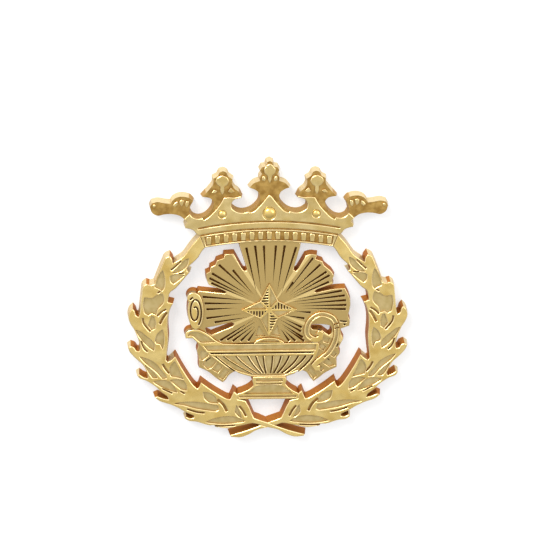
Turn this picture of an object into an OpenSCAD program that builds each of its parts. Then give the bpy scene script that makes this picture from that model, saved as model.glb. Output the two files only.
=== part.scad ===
// Pierced cap badge: an open crown over two crossed leaf branches, with a sunburst, a hatched
// star, an oil lamp and a rolled parchment inside, and three screw posts with nuts behind.
// Upright badge: +X right, +Z up, front towards -Y. The back plane is Y = 0.

/* [Relief] */
// Thickness of the branches, the crown and the lamp foot
rim_t = 2.6; // [2:0.1:4]
// Thickness of the sunburst plate where its rays show
ray_t = 2.1; // [1.5:0.1:3]
// Height of the seats sunk in the sunburst for the pieces laid on it
seat_t = 1.5; // [0.8:0.1:2]
// Height of the front of the pieces laid on the sunburst
laid_t = 2.5; // [2:0.1:4]
// Depth of the matt fields below the polished lands
field_d = 0.35; // [0.1:0.05:0.8]
// Depth of the thin cut lines
line_d = 0.5; // [0.2:0.05:1]
// Width of the polished land between two cut facets of the star
land_w = 0.16; // [0.05:0.01:0.4]

/* [Posts] */
// Distance of each lower post from the centre line
post_x = 11; // [8:0.5:14]
// Height of the two lower posts
post_z = -18; // [-19:0.1:-16]
// Height of the post behind the crown
crown_post_z = 12.9; // [12:0.1:14]
// Radius of the plain shoulder that goes through the cap
shoulder_r = 1.25; // [0.8:0.05:2]
// Length of the plain shoulder
shoulder_l = 2; // [1:0.1:5]
// Radius of the threaded length
thread_r = 1; // [0.6:0.05:1.5]
// Length of the threaded length
thread_l = 4.5; // [3:0.1:10]
// Radius of the solder flange at the foot of a post
flange_r = 1.7; // [1.4:0.1:2]
// Thickness of the solder flange
flange_t = 0.5; // [0.3:0.1:1]
// Radius of the washer
washer_r = 2.1; // [1.8:0.1:3]
// Thickness of the washer
washer_t = 0.4; // [0.2:0.1:1]
// Radius of the knurled nut
nut_r = 2; // [1.6:0.1:3]
// Height of the knurled nut
nut_h = 1.8; // [1:0.1:4]
// Number of grooves in the nut's knurl
knurl_count = 20; // [8:1:40]

/* [Hidden] */
$fn = 64;

gold = [0.85, 0.70, 0.32];
pale_gold = [0.90, 0.80, 0.50];
brass = [0.80, 0.62, 0.28];
eps = 0.01;
fit_gap = 0.05;
spigot_r = 0.9;
star_centre = [0.1, -1.3];
post_places = [[0, crown_post_z], [-post_x, post_z], [post_x, post_z]];

// ---------------------------------------------------------------- outlines

// Outer side of the left branch, from the crown down to the crossing of the stems.
branch_outer = [
    [-10.9, 11.1], [-12.2, 9.6], [-13.6, 7.7], [-14.6, 7.0], [-15.2, 6.6],
    [-15.3, 7.3], [-15.7, 7.9], [-16.3, 7.6], [-16.8, 6.6], [-17.5, 4.9], [-18.1, 3.3],
    [-18.7, 3.1], [-19.4, 3.3], [-19.9, 2.9], [-20.1, 1.8], [-20.3, 0.2], [-20.5, -1.6],
    [-20.7, -2.2], [-21.1, -1.9], [-21.3, -1.2], [-21.6, -0.8], [-22.0, -1.2], [-22.3, -2.3],
    [-22.0, -3.3], [-21.4, -4.3], [-21.0, -5.3], [-20.6, -6.6], [-20.5, -7.5],
    [-20.7, -8.0], [-21.1, -7.9], [-21.5, -7.3], [-22.0, -7.1], [-22.4, -7.4], [-22.2, -8.0],
    [-21.5, -8.9], [-20.6, -9.8], [-20.0, -10.4], [-19.6, -11.2], [-19.2, -12.2],
    [-19.4, -12.6], [-20.0, -12.4], [-20.7, -11.9], [-21.0, -12.1], [-20.6, -12.6],
    [-19.8, -12.9], [-18.8, -13.5], [-17.9, -14.2], [-17.3, -14.9], [-16.2, -15.8],
    [-16.0, -16.3], [-16.9, -16.1], [-17.8, -15.7], [-18.2, -15.9], [-17.5, -16.5],
    [-15.6, -17.2], [-14.2, -17.9], [-13.6, -18.3], [-12.9, -18.7], [-12.0, -19.1],
    [-11.9, -19.5], [-12.5, -19.6], [-13.2, -19.3], [-13.4, -19.6], [-12.8, -20.0],
    [-11.5, -20.2], [-10.0, -20.7], [-8.3, -21.1], [-6.6, -21.4], [-5.4, -21.2],
    [-4.0, -20.9], [-2.4, -20.6]];

// Far end of the left branch's stem, past the crossing and back.
stem_end = [
    [-0.9, -21.0], [0, -21.3], [1.8, -21.8], [3.0, -22.5], [4.4, -23.0], [5.9, -22.9],
    [6.1, -22.6], [4.9, -22.3], [3.0, -21.7], [1.9, -21.3], [0, -20.5]];

// Inner side of the left branch, from the crossing up to the crown.
branch_inner = [
    [-1.4, -20.0], [-2.2, -19.7], [-2.6, -18.8], [-3.0, -17.8], [-3.6, -16.7], [-4.9, -16.4],
    [-5.0, -15.5], [-5.5, -15.0], [-5.9, -16.0], [-6.1, -16.4], [-6.6, -16.3], [-9.0, -14.8],
    [-10.8, -13.4], [-11.1, -14.2], [-11.4, -14.5], [-12.0, -13.9], [-13.3, -11.9],
    [-14.4, -9.9], [-14.9, -8.9], [-15.6, -9.6], [-16.1, -9.9], [-16.4, -9.5], [-16.2, -8.0],
    [-16.0, -6.0], [-16.1, -4.0], [-16.0, -2.2], [-15.6, -0.8], [-15.2, 0.0], [-16.0, 0.2],
    [-15.9, 1.0], [-15.6, 1.9], [-14.9, 2.4], [-14.0, 3.4], [-13.1, 4.5], [-12.5, 5.2],
    [-12.9, 5.3], [-12.9, 5.9], [-12.3, 6.5], [-11.2, 7.6], [-10.6, 8.6], [-10.1, 9.2]];

// Matt fields sunk between the leaves of the left branch.
leaf_fields = [
    [[-15.3, 5.0], [-14.4, 5.1], [-13.4, 5.7], [-12.9, 6.4], [-12.7, 7.4], [-13.2, 7.2],
     [-14.2, 6.2]],
    [[-15.6, 4.5], [-15.5, 3.6], [-15.1, 3.2], [-14.2, 3.9], [-13.3, 4.7], [-14.9, 4.8]],
    [[-16.8, 5.5], [-17.3, 4.8], [-17.8, 3.6], [-18.0, 2.7], [-17.5, 2.5], [-16.9, 2.1],
     [-16.6, 2.6], [-16.5, 4.0]],
    [[-19.7, 1.0], [-19.9, -0.2], [-19.7, -1.6], [-19.1, -2.0], [-18.6, -1.6], [-17.9, -1.9],
     [-17.6, -0.9], [-17.1, -0.4], [-16.7, 0.2], [-16.7, 1.0], [-16.9, 1.6], [-17.7, 1.4],
     [-18.4, 0.9]],
    [[-18.6, -2.1], [-19.2, -3.6], [-18.6, -4.5], [-18.1, -4.2], [-18.0, -3.2],
     [-18.3, -2.2]],
    [[-16.9, -4.4], [-17.6, -5.0], [-18.1, -6.2], [-17.9, -6.7], [-17.3, -6.8],
     [-16.9, -7.7], [-16.7, -6.8], [-16.7, -5.2]],
    [[-21.2, -4.4], [-20.8, -5.2], [-20.3, -6.0], [-19.8, -6.6], [-18.9, -7.5],
     [-18.3, -7.9], [-18.2, -7.0], [-18.6, -6.3], [-19.6, -5.4], [-20.6, -4.6]],
    [[-20.6, -8.9], [-19.9, -9.8], [-18.8, -10.8], [-17.8, -11.7], [-17.0, -12.7],
     [-16.3, -12.7], [-16.4, -12.3], [-17.2, -11.3], [-17.9, -10.3], [-19.2, -9.4]],
    [[-19.8, -10.3], [-19.5, -11.0], [-19.0, -11.9], [-18.5, -12.6], [-17.8, -12.6],
     [-18.3, -11.7], [-19.0, -11.0]],
    [[-15.0, -9.8], [-15.6, -10.5], [-15.8, -11.5], [-15.6, -12.3], [-14.6, -12.5],
     [-13.6, -12.8], [-14.0, -12.0], [-14.6, -10.6]],
    [[-18.5, -13.2], [-17.2, -14.1], [-15.7, -14.8], [-14.6, -15.1], [-15.0, -14.3],
     [-16.1, -13.2], [-17.0, -13.0]],
    [[-15.8, -13.0], [-14.9, -13.8], [-13.9, -14.6], [-13.1, -14.8], [-13.2, -13.8],
     [-13.6, -13.1], [-14.6, -12.9]],
    [[-15.2, -17.0], [-13.6, -17.3], [-12.0, -17.8], [-10.0, -18.2], [-8.3, -18.4],
     [-7.9, -18.2], [-8.1, -17.5], [-9.0, -17.3], [-10.4, -17.0], [-12.0, -16.8],
     [-13.6, -16.8]],
    [[-10.4, -15.1], [-10.2, -16.2], [-9.6, -16.8], [-8.0, -17.1], [-8.5, -16.0],
     [-9.4, -15.3]],
    [[-10.0, -20.3], [-8.0, -20.6], [-6.0, -20.6], [-3.6, -20.3], [-4.0, -20.0],
     [-5.2, -19.5], [-7.0, -19.4], [-8.6, -19.7]],
    [[-5.1, -17.4], [-5.3, -18.6], [-4.8, -19.3], [-4.2, -19.7], [-4.5, -18.8]]];

// Thin cut lines of the left branch: a width, then the points of the line.
leaf_lines = [
    [0.22, [[-13.9, 7.0], [-14.7, 6.2], [-15.5, 5.5]]],
    [0.20, [[-13.4, 5.0], [-14.3, 5.0]]],
    [0.25, [[-17.2, 2.1], [-17.6, 1.7]]],
    [0.25, [[-20.0, -2.4], [-19.9, -3.2], [-19.4, -4.0], [-18.8, -4.7]]],
    [0.25, [[-16.3, -1.0], [-17.0, -1.4], [-17.7, -2.1]]],
    [0.35, [[-16.2, -1.5], [-16.8, -2.4], [-17.3, -3.4]]],
    [0.22, [[-20.3, -6.2], [-20.1, -7.0], [-19.8, -7.6], [-19.3, -8.1]]],
    [0.30, [[-16.9, -10.2], [-16.5, -11.0], [-15.9, -11.8]]],
    [0.25, [[-17.0, -14.4], [-16.2, -14.8], [-15.4, -15.2]]],
    [0.25, [[-14.1, -14.9], [-13.4, -15.3]]],
    [0.25, [[-13.0, -18.0], [-11.5, -18.5], [-10.2, -18.7]]],
    [0.40, [[-8.1, -16.4], [-7.2, -17.3], [-6.6, -18.5]]],
    [0.20, [[-9.3, -20.9], [-7.4, -21.0], [-5.2, -20.9]]],
    [0.30, [[-4.6, -17.6], [-4.0, -18.4], [-3.5, -19.4]]]];

// Left half of the crown, from the top of the middle fleuron to the foot of the band.
crown_half = [
    [0, 23.1], [-0.4, 22.9], [-0.6, 22.2], [-1.2, 22.1], [-1.5, 21.6], [-1.2, 21.0],
    [-1.5, 20.5], [-1.5, 19.9], [-2.5, 19.5], [-3.1, 18.8], [-2.3, 18.5], [-1.7, 18.0],
    [-1.5, 17.3], [-1.6, 16.5], [-2.1, 15.8], [-3.0, 15.1], [-4.2, 14.8], [-5.2, 15.0],
    [-5.9, 15.5], [-6.0, 16.2], [-5.6, 16.9], [-4.4, 17.3], [-4.8, 18.1], [-5.6, 18.8],
    [-5.9, 19.5], [-5.8, 20.2], [-6.5, 20.7], [-6.8, 21.3], [-7.3, 21.5], [-7.8, 21.3],
    [-8.1, 20.7], [-8.8, 20.3], [-8.8, 19.5], [-9.4, 18.6], [-10.5, 17.4], [-9.2, 17.1],
    [-8.7, 16.5], [-8.9, 15.6], [-9.6, 14.6], [-10.5, 14.0], [-11.4, 13.9], [-12.2, 14.3],
    [-12.6, 15.0], [-12.4, 15.9], [-12.0, 16.6], [-12.4, 17.1], [-13.2, 17.4],
    [-14.2, 17.4], [-15.0, 17.0], [-15.5, 16.3], [-16.4, 16.4], [-17.6, 16.6],
    [-18.4, 16.4], [-18.7, 15.8], [-18.4, 14.9], [-17.6, 14.4], [-16.4, 14.6],
    [-15.0, 14.6], [-14.0, 14.3], [-13.2, 13.7], [-12.9, 13.3], [-13.3, 12.8],
    [-13.2, 12.4], [-12.6, 12.3], [-11.9, 12.0], [-11.4, 11.4], [-10.9, 11.1],
    [-10.1, 9.2]];

// Sunk faces of the crown's fleurons, drawn past the outline so that they cut right through it:
// the left one with its stalk, the end one seen from the side, and half of the middle one.
fleuron_face = [
    [-10.6, 14.4], [-10.3, 13.65], [-9.6, 14.1], [-8.9, 14.8], [-8.1, 15.7], [-7.5, 16.6],
    [-7.15, 17.25], [-6.4, 17.35], [-5.5, 17.3], [-4.9, 17.4], [-4.1, 17.7], [-4.2, 18.4],
    [-5.3, 19.4], [-5.3, 20.6], [-6.2, 21.4], [-6.8, 22.0], [-7.9, 22.0], [-8.7, 21.2],
    [-9.4, 20.6], [-9.4, 19.6], [-10.2, 18.6], [-11.2, 17.4], [-9.9, 16.4]];
end_face = [
    [-11.6, 17.1], [-12.3, 17.7], [-13.4, 18.0], [-14.6, 17.9], [-15.5, 17.3], [-16.4, 17.0],
    [-17.8, 17.2], [-19.0, 16.8], [-19.3, 15.6], [-18.8, 14.2], [-17.4, 13.8], [-15.0, 14.0],
    [-13.6, 13.6], [-13.0, 14.25], [-12.3, 14.9], [-11.9, 15.8]];
middle_face_half = [
    [0, 23.7], [-0.9, 23.3], [-1.7, 22.6], [-2.0, 21.6], [-2.0, 20.5], [-3.2, 20.1],
    [-3.9, 18.9], [-3.2, 18.2], [-2.3, 17.4], [-2.4, 16.4], [-3.3, 15.5], [-3.1, 14.85],
    [-2.5, 15.0], [-1.6, 15.85], [-0.8, 16.8], [-0.3, 17.45], [0, 17.7]];

// Raised buds and petals that stand on the sunk faces.
fleuron_bud = [
    [-7.4, 20.9], [-7.9, 20.7], [-8.3, 20.4], [-8.45, 19.9], [-8.15, 19.35], [-7.7, 19.05],
    [-7.65, 18.2], [-7.4, 17.75], [-7.15, 18.2], [-7.1, 19.05], [-6.65, 19.35],
    [-6.35, 19.95], [-6.6, 20.5], [-7.0, 20.7]];
middle_bud_half = [
    [0, 22.75], [-0.5, 22.45], [-0.9, 21.9], [-0.8, 21.2], [-0.35, 20.75], [-0.22, 20.0],
    [0, 19.6]];
petals = [
    [[-1.15, 20.65], [-1.2, 20.05], [-0.75, 19.9], [-0.62, 20.3], [-0.9, 20.75]],
    [[-8.7, 18.6], [-9.1, 18.1], [-8.5, 18.0], [-8.15, 18.4]],
    [[-6.1, 18.9], [-6.5, 18.3], [-6.0, 18.0], [-5.5, 18.3]],
    [[-13.75, 17.05], [-14.1, 16.8], [-14.05, 16.4], [-13.7, 15.95], [-13.5, 16.4],
     [-13.4, 16.85]],
    [[-12.65, 16.75], [-13.05, 16.75], [-13.2, 16.2], [-12.95, 15.7], [-12.7, 16.1]],
    [[-14.4, 16.75], [-14.85, 16.5], [-15.15, 16.1], [-14.8, 15.8], [-14.35, 16.2]],
    [[-17.8, 16.15], [-18.0, 16.3], [-18.25, 16.15], [-18.2, 15.85], [-17.9, 15.8]]];

// Edge of the sunburst from the left of the crown, anticlockwise to the right of it. Where
// the scroll or the lamp reaches past it, the plate follows their outlines.
burst_edge = [
    [-4.7, 9.6], [-3.4, 5.4], [-3.7, 5.1], [-4.1, 5.3], [-5.6, 8.0], [-7.0, 7.9],
    [-7.1, 7.3], [-8.2, 6.9], [-8.5, 6.2], [-9.2, 5.8], [-9.3, 5.1], [-9.9, 4.8],
    [-9.8, 3.6], [-9.5, 2.9], [-7.5, 2.1], [-6.7, 1.7], [-6.9, 1.4], [-8.6, 1.6],
    [-11.1, 1.9], [-11.6, 1.2], [-12.2, -1.0], [-12.1, -2.8], [-12.3, -3.6],
    [-12.3, -4.8], [-11.3, -6.0], [-11.2, -7.4],
    [-11.4, -8.2], [-11.2, -9.0], [-11.1, -9.9], [-11.1, -11.0], [-10.2, -11.4],
    [-9.4, -11.9], [-8.4, -12.8], [-7.3, -13.6], [-6.9, -13.3], [-6.3, -12.4],
    [-5.8, -12.0], [-4.6, -11.4], [4.8, -11.4], [6.2, -12.0], [6.8, -12.9], [7.4, -13.6],
    [8.1, -13.1], [9.2, -12.2], [11.1, -11.2], [11.1, -10.4], [11.0, -9.8], [11.6, -8.8],
    [11.3, -8.0], [11.7, -7.2], [12.1, -6.4],
    [11.7, -5.5], [11.6, -4.7], [13.0, -4.2], [13.1, -3.4], [12.8, -2.5], [13.0, -1.5],
    [13.1, -0.2], [12.8, 0.9], [12.2, 2.1], [10.5, 2.0], [7.6, 1.4], [7.3, 1.6],
    [7.6, 1.9], [10.3, 2.9], [10.1, 3.6], [10.4, 4.2], [9.9, 5.0], [9.3, 5.5],
    [8.7, 6.1], [8.5, 6.6], [7.4, 7.0], [7.6, 7.7], [6.6, 7.8], [5.9, 7.6],
    [4.6, 5.3], [4.3, 5.0], [3.9, 5.3], [5.0, 9.5], [4.6, 10.3], [-4.2, 10.3]];

// Pierced slots in the sunburst, left and right of the lamp's lid.
left_slot = [[-10.1, -4.3], [-8.4, -4.0], [-5.9, -3.4], [-5.4, -3.7], [-5.7, -4.1],
             [-9.1, -5.5], [-9.9, -5.1]];
right_slot = [[6.9, -3.9], [8.7, -3.9], [9.9, -4.1], [10.2, -4.6], [10.2, -5.4],
              [9.8, -5.8], [9.1, -5.3], [8.6, -4.9], [7.1, -4.8], [6.8, -4.4]];

// Rays of the sunburst: where each cut line starts near the star, and where it ends.
ray_pairs = [
    [[-0.5, 3.0], [-0.8, 9.3]], [[-1.2, 1.8], [-2.2, 9.3]], [[-1.8, 1.0], [-3.6, 9.0]],
    [[0.7, 3.0], [1.1, 9.3]], [[1.4, 1.6], [2.5, 9.3]], [[1.9, 0.8], [4.3, 9.0]],
    [[-2.2, 1.0], [-5.7, 5.3]], [[-2.5, 1.1], [-7.9, 6.2]], [[-2.7, 0.8], [-9.0, 4.8]],
    [[-3.0, 0.6], [-9.4, 4.0]], [[-3.2, 0.4], [-9.1, 3.2]],
    [[-2.6, 0.2], [-10.5, 0.9]], [[-3.4, -0.3], [-10.2, -0.2]], [[-4.7, -1.0], [-9.9, -1.2]],
    [[-3.6, -1.9], [-9.9, -2.7]], [[-2.8, -2.5], [-8.6, -3.4]],
    [[-1.8, -2.6], [-7.7, -6.5]], [[-1.6, -3.0], [-6.6, -6.4]], [[-2.1, -3.8], [-5.7, -6.6]],
    [[-2.0, -4.1], [-4.4, -6.6]], [[-1.9, -4.6], [-3.2, -6.6]],
    [[2.6, 1.3], [3.9, 3.2]], [[2.8, 1.3], [7.0, 7.2]], [[3.1, 1.1], [8.2, 6.1]],
    [[3.0, 0.7], [9.2, 4.9]], [[3.3, 0.6], [9.7, 4.3]], [[3.2, 0.3], [9.6, 3.2]],
    [[3.0, 0.1], [11.7, 1.7]], [[3.0, -0.2], [12.2, 0.9]], [[3.7, -0.5], [12.4, 0.1]],
    [[4.6, -0.8], [12.5, -0.7]], [[5.0, -1.2], [12.4, -1.4]], [[4.2, -1.7], [6.8, -1.9]],
    [[2.5, -2.3], [5.8, -2.9]], [[2.3, -2.8], [5.4, -4.4]], [[1.8, -3.0], [5.3, -5.1]],
    [[1.9, -3.6], [5.6, -6.1]], [[2.2, -4.1], [5.8, -6.7]], [[2.4, -4.7], [4.4, -6.7]],
    [[1.9, -4.5], [3.4, -6.7]]];

// Matt panels of the sunburst: the zigzag blocks beside the lamp and below the star.
burst_fields = [
    [[-10.8, -8.2], [-9.9, -8.3], [-9.3, -8.8], [-10.4, -9.8], [-10.9, -9.7]],
    [[-10.6, -10.4], [-9.8, -10.0], [-9.0, -9.3], [-8.3, -10.1], [-9.2, -11.2],
     [-9.8, -11.3]],
    [[-8.0, -10.4], [-7.3, -11.0], [-8.0, -12.0], [-8.9, -11.5]],
    [[-6.9, -11.3], [-6.2, -11.7], [-7.2, -13.2], [-8.0, -12.7]],
    [[-1.5, -4.0], [-2.0, -5.8], [-0.4, -5.8]],
    [[1.5, -4.0], [0.5, -5.6], [1.9, -5.9]],
    [[8.2, -7.9], [8.5, -7.2], [9.3, -7.7], [9.0, -8.4]],
    [[8.9, -6.9], [9.0, -6.2], [9.9, -6.3], [9.7, -7.2]],
    [[10.1, -9.2], [10.6, -8.5], [11.1, -8.9], [10.7, -9.6]],
    [[8.9, -10.5], [9.6, -9.8], [10.8, -10.9], [9.9, -11.2]],
    [[8.6, -11.0], [9.2, -11.5], [8.6, -12.0], [8.2, -11.6]],
    [[6.4, -11.6], [6.8, -11.3], [8.0, -12.6], [7.4, -13.2]]];

burst_lines = [
    [0.25, [[-9.2, -9.4], [-10.0, -10.0]]],
    [0.25, [[9.6, -9.8], [9.9, -10.0]]],
    [0.22, [[11.3, -7.2], [11.0, -7.8]]],
    [0.25, [[11.5, -3.4], [12.6, -3.5]]],
    [0.30, [[12.1, -4.0], [12.4, -4.0]]]];

// Outline of the lamp's bowl, with its spout at the left.
bowl_edge = [
    [-13.3, -5.3], [-13.0, -4.8], [-12.2, -4.5], [-11.2, -4.5], [-10.3, -4.9],
    [-9.4, -5.5], [-8.5, -6.3], [-7.3, -6.9], [8.0, -6.9], [8.2, -7.4], [8.0, -8.5],
    [7.7, -9.2], [7.2, -10.0], [6.4, -10.9], [5.2, -11.7], [4.0, -12.2], [2.8, -12.6],
    [-2.4, -12.6], [-4.2, -12.1], [-5.6, -11.6], [-7.2, -10.6], [-8.6, -9.5],
    [-9.8, -8.4], [-10.7, -7.4], [-11.5, -6.5], [-12.1, -5.9], [-13.2, -5.9]];
spout_field = [
    [-12.9, -5.5], [-12.6, -5.0], [-11.6, -4.9], [-10.6, -5.2], [-9.6, -5.8],
    [-8.4, -6.6], [-10.9, -6.6], [-11.6, -6.0], [-12.2, -5.5]];
rim_field = [[-10.4, -7.2], [7.7, -7.2], [7.6, -8.1], [-9.7, -8.1]];
rim_line = [[-9.4, -8.4], [7.4, -8.4], [7.3, -8.65], [-9.2, -8.65]];

// Cut lines between the bowl's flutes: top X, middle X and bottom X of each.
flutes = [
    [-8.4, -6.9, -4.6], [-7.2, -5.4, -2.6], [-5.2, -4.0, -1.7], [-3.3, -2.6, -1.1],
    [-2.0, -1.6, -0.7], [-0.8, -0.7, -0.3], [0.7, 0.7, 0.4], [2.1, 1.8, 0.9],
    [3.4, 2.9, 1.5], [4.9, 4.2, 2.2], [6.1, 5.2, 3.0], [7.2, 6.4, 4.4]];
flute_top = -9.1;
flute_mid = -10.6;
flute_bottom = -12.1;
rib_w = 0.25;
rib_step = 0.17;

// Sunk belly of the bowl, on which the ribs between the flutes stand.
belly = [
    [-8.9, -9.0], [7.4, -9.0], [7.2, -9.5], [6.7, -10.3], [5.9, -11.0], [4.9, -11.5],
    [3.8, -11.9], [2.7, -12.3], [-2.3, -12.3], [-4.1, -11.8], [-5.4, -11.3], [-6.9, -10.4],
    [-8.2, -9.4]];

// Lamp lid, foot and the hollows in the foot.
lid_edge = [[-2.3, -6.9], [-1.9, -6.5], [-0.9, -6.1], [0.3, -6.0], [1.5, -6.2],
            [2.2, -6.5], [2.6, -6.9]];
foot_edge = [
    [-2.4, -12.6], [-2.5, -13.2], [-2.3, -14.0], [-2.9, -14.6], [-3.8, -15.1],
    [-5.0, -15.5], [-4.9, -16.4], [4.9, -16.4], [5.0, -15.5], [3.9, -14.9],
    [3.2, -14.3], [2.8, -13.8], [3.0, -13.2], [2.8, -12.6]];
foot_fields = [
    [[-1.9, -12.9], [2.3, -12.9], [2.4, -13.4], [-1.9, -13.4]],
    [[-1.9, -13.7], [2.2, -13.7], [2.2, -13.9], [-1.9, -13.9]],
    [[-1.9, -14.2], [2.3, -14.2], [3.1, -14.8], [4.2, -15.5], [-3.9, -15.5],
     [-2.8, -14.9]],
    [[-4.6, -15.8], [4.6, -15.8], [4.6, -16.1], [-4.6, -16.1]]];

// Middle line of the lamp's handle, from the curl inside the loop to the tail.
handle_route = [
    [7.9, -5.1], [8.5, -5.5], [8.4, -6.1], [7.7, -6.4], [6.9, -6.2], [6.3, -5.6],
    [6.2, -4.6], [6.6, -3.4], [7.4, -2.6], [8.4, -2.2], [9.5, -2.4], [10.4, -3.0],
    [10.9, -3.9], [11.0, -5.0], [10.9, -6.2], [10.5, -7.4], [9.8, -8.6], [9.0, -9.4],
    [8.0, -10.2], [7.4, -10.8], [7.8, -11.3], [8.4, -11.2]];
handle_w = 0.9;
handle_groove_w = 0.36;

// ---------------------------------------------------------------- helpers

function flip_x(points) = [for (i = [len(points) - 1 : -1 : 0]) [-points[i].x, points[i].y]];

function ellipse(centre, rx, ry, steps) =
    [for (i = [0 : steps - 1]) centre + [rx * cos(360 * i / steps), ry * sin(360 * i / steps)]];

// Point at share t of a bend through three points.
function bend(a, b, c, t) = a * (1 - t) * (1 - t) + b * 2 * t * (1 - t) + c * t * t;

// Side step of a line at point i, square to the line through its neighbours.
function side(points, i) =
    let (a = points[max(i - 1, 0)], b = points[min(i + 1, len(points) - 1)], d = b - a)
    [-d.y, d.x] / norm(d);

// Outline of a strip of the given width laid along a line.
function strip(points, width) = concat(
    [for (i = [0 : len(points) - 1]) points[i] + side(points, i) * width / 2],
    [for (i = [len(points) - 1 : -1 : 0]) points[i] - side(points, i) * width / 2]);

// A triangle taken in by a land on all three sides.
function take_in(t, land) =
    let (
        a = norm(t[1] - t[2]),
        b = norm(t[2] - t[0]),
        c = norm(t[0] - t[1]),
        centre = (a * t[0] + b * t[1] + c * t[2]) / (a + b + c),
        area = abs(cross(t[1] - t[0], t[2] - t[0])) / 2,
        inner_r = 2 * area / (a + b + c),
        share = 1 - land / inner_r)
    [for (p = t) centre + (p - centre) * share];

// A flat shape raised from one height above the back plane to another.
module slab(low, high) {
    rotate([90, 0, 0])
        translate([0, 0, low])
            linear_extrude(high - low)
                children();
}

module all_polygons(list) {
    for (points = list)
        polygon(points);
}

module all_lines(list) {
    for (line = list)
        polygon(strip(line[1], line[0]));
}

// ---------------------------------------------------------------- branches

module branch_shape() {
    polygon(concat(branch_outer, stem_end, branch_inner));
}

// A branch: the one in front keeps the front half where the stems cross.
module branch(in_front) {
    low = in_front ? -eps : rim_t / 2;
    high = in_front ? rim_t / 2 : rim_t + eps;
    difference() {
        slab(0, rim_t) branch_shape();
        slab(rim_t - field_d, rim_t + eps) all_polygons(leaf_fields);
        slab(rim_t - line_d, rim_t + eps) all_lines(leaf_lines);
        slab(low, high) mirror([1, 0]) branch_shape();
    }
}

module left_branch() {
    color(gold) branch(true);
}

module right_branch() {
    color(gold) mirror([1, 0, 0]) branch(false);
}

// ---------------------------------------------------------------- crown

band_mid_z = 10.1;
band_drop = 0.9;
band_half = 10.1;
dentil_count = 15;
dentil_pitch = 1.36;
scallop = 0.14;

// Height of an arc of the band at x, for a given height at the middle.
function band_z(x, middle) = middle - band_drop * pow(x / band_half, 2);

// A strip that follows the band's arc.
function band_strip(half, middle, width) =
    strip([for (x = [-half : half / 6 : half + eps]) [x, band_z(x, middle)]], width);

module crown_shape() {
    // the foot of the band is scalloped where it laps over the sunburst
    foot = [for (i = [-16 : 16]) let (x = i / 2)
        [x, band_z(x, band_mid_z) + (abs(i) < 9 && i % 2 != 0 ? scallop : 0)]];
    polygon(concat(crown_half, foot, [for (p = flip_x(crown_half)) if (p.x > 0) p]));
}

// The other half of a symmetrical outline whose first half starts and ends on the centre line.
function both_inner(half) = [for (i = [len(half) - 2 : -1 : 1]) [-half[i].x, half[i].y]];

module both_sides() {
    union() {
        children();
        mirror([1, 0]) children();
    }
}

module fleuron_faces() {
    union() {
        both_sides() polygon(fleuron_face);
        both_sides() polygon(end_face);
        polygon(concat(middle_face_half, both_inner(middle_face_half)));
    }
}

module fleuron_buds() {
    union() {
        both_sides() polygon(fleuron_bud);
        both_sides() all_polygons(petals);
        polygon(concat(middle_bud_half, both_inner(middle_bud_half)));
    }
}

module dentils() {
    union() {
        for (i = [0 : dentil_count - 1]) {
            x = (i - (dentil_count - 1) / 2) * dentil_pitch;
            translate([x - 0.35, band_z(x, 10.48)]) square([0.7, 1.24]);
        }
    }
}

boss_places = [[0, 14.7, 1.0], [-7.4, 14.6, 0.6], [7.4, 14.6, 0.6]];
boss_sink = 0.5;
boss_rise = 0.3;

module crown() {
    color(gold) difference() {
        slab(0, rim_t) crown_shape();
        difference() {
            slab(rim_t - field_d, rim_t + eps) fleuron_faces();
            slab(rim_t - field_d - eps, rim_t + 2 * eps) fleuron_buds();
        }
        slab(rim_t - field_d, rim_t + eps) {
            polygon(band_strip(11.2, 13.4, 0.25));
            polygon(band_strip(10.8, 12.2, 0.25));
        }
        // ground between the dentils
        difference() {
            slab(rim_t - field_d, rim_t + eps) polygon(band_strip(10.1, 11.1, 1.5));
            slab(rim_t - field_d - eps, rim_t + 2 * eps) dentils();
        }
        // seats of the bosses
        for (b = boss_places)
            slab(rim_t - boss_sink, rim_t + eps)
                translate([b.x, b.y]) circle(r = b.z + fit_gap);
        // lap over the top of the sunburst
        slab(-eps, rim_t / 2) polygon(burst_edge);
    }
}

module crown_bosses() {
    color(pale_gold)
    for (b = boss_places)
        slab(rim_t - boss_sink, rim_t + boss_rise * b.z)
            translate([b.x, b.y]) circle(r = b.z);
}

// ---------------------------------------------------------------- sunburst and star

star_tips = [star_centre + [0, 4.4], star_centre + [4.4, 0],
             star_centre + [0, -4.4], star_centre + [-4.4, 0]];
valley = 1.45;
star_valleys = [star_centre + [valley, valley], star_centre + [valley, -valley],
                star_centre + [-valley, -valley], star_centre + [-valley, valley]];
star_edge = [for (i = [0 : 3]) each [star_tips[i], star_valleys[i]]];
hatch_pitch = 0.46;
hatch_w = 0.24;

module star_hatch(i) {
    // bars run across the point, so they turn with it
    for (k = [-12 : 12])
        translate(star_centre)
            rotate(-90 * i)
                translate([-6, k * hatch_pitch])
                    square([12, hatch_w]);
}

module star() {
    color(pale_gold) difference() {
        slab(seat_t, laid_t) polygon(star_edge);
        for (i = [0 : 3]) {
            plain = take_in([star_centre, star_tips[i], star_valleys[i]], land_w);
            hatched = take_in([star_centre, star_tips[i], star_valleys[(i + 3) % 4]], land_w);
            slab(laid_t - field_d, laid_t + eps) polygon(plain);
            slab(laid_t - line_d, laid_t + eps)
                intersection() {
                    polygon(hatched);
                    star_hatch(i);
                }
        }
    }
}

scroll_centre = [-11.6, -1.4];
scroll_rx = 1.25;
scroll_ry = 3.0;

module scroll_shape() {
    difference() {
        union() {
            polygon(ellipse(scroll_centre, scroll_rx, scroll_ry, 28));
            polygon(ellipse([-12.0, 0.8], 0.95, 0.95, 20));
        }
        polygon(bowl_edge);
    }
}

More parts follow.
